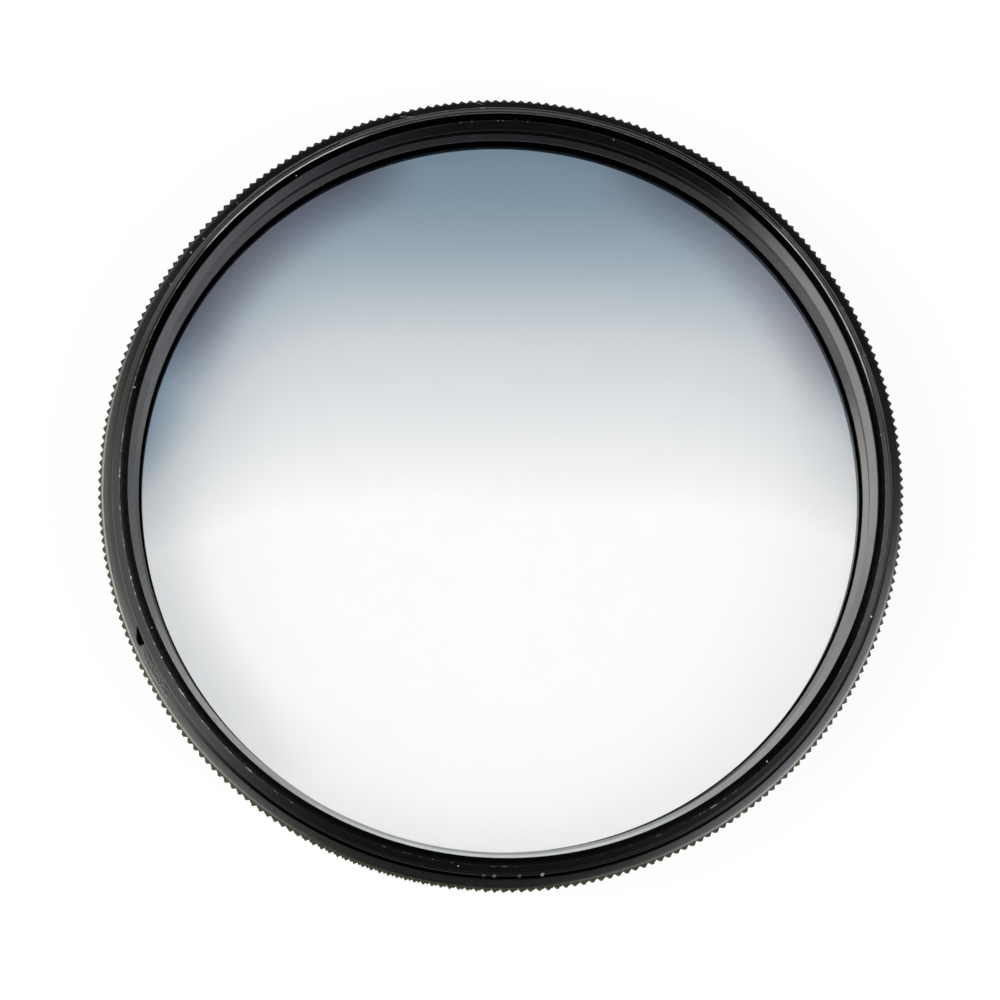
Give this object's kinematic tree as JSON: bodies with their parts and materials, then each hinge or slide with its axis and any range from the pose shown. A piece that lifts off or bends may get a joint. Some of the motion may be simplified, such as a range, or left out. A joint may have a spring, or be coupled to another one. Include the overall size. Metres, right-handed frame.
{
  "type": "screw in lens filter",
  "caption": "Round graduated lens filter in a black knurled rotating mount, with a male thread at the rear and a female thread at the front.",
  "frame": {"origin": "centre of the front rim, on the surface that the filter lies on", "axes": "+Z along the optical axis towards the rear male thread; +Y points to the dark side of the graduated disc at rest"},
  "size_m": [0.08, 0.08, 0.0095],
  "materials": {
    "black_anodised": "black anodised, turned, worn along the thread",
    "black_anodised_rotor": "black anodised, turned and knurled",
    "graduated_glass": "polished, grey blue tint fading to clear",
    "black_retainer": "matt black anodised",
    "spring_steel": "drawn spring wire"
  },
  "bodies": {
    "mount": {"mount_ring": "black_anodised", "snap_wire": "spring_steel"},
    "rotor": {"rotating_ring": "black_anodised_rotor", "graduated_glass": "graduated_glass", "retaining_ring": "black_retainer"}
  },
  "joints": [
    {"name": "ring_turn", "type": "hinge", "parent": "mount", "child": "rotor", "pos_m": [0, 0, 0], "axis": [0, 0, 1], "continuous": true}
  ]
}
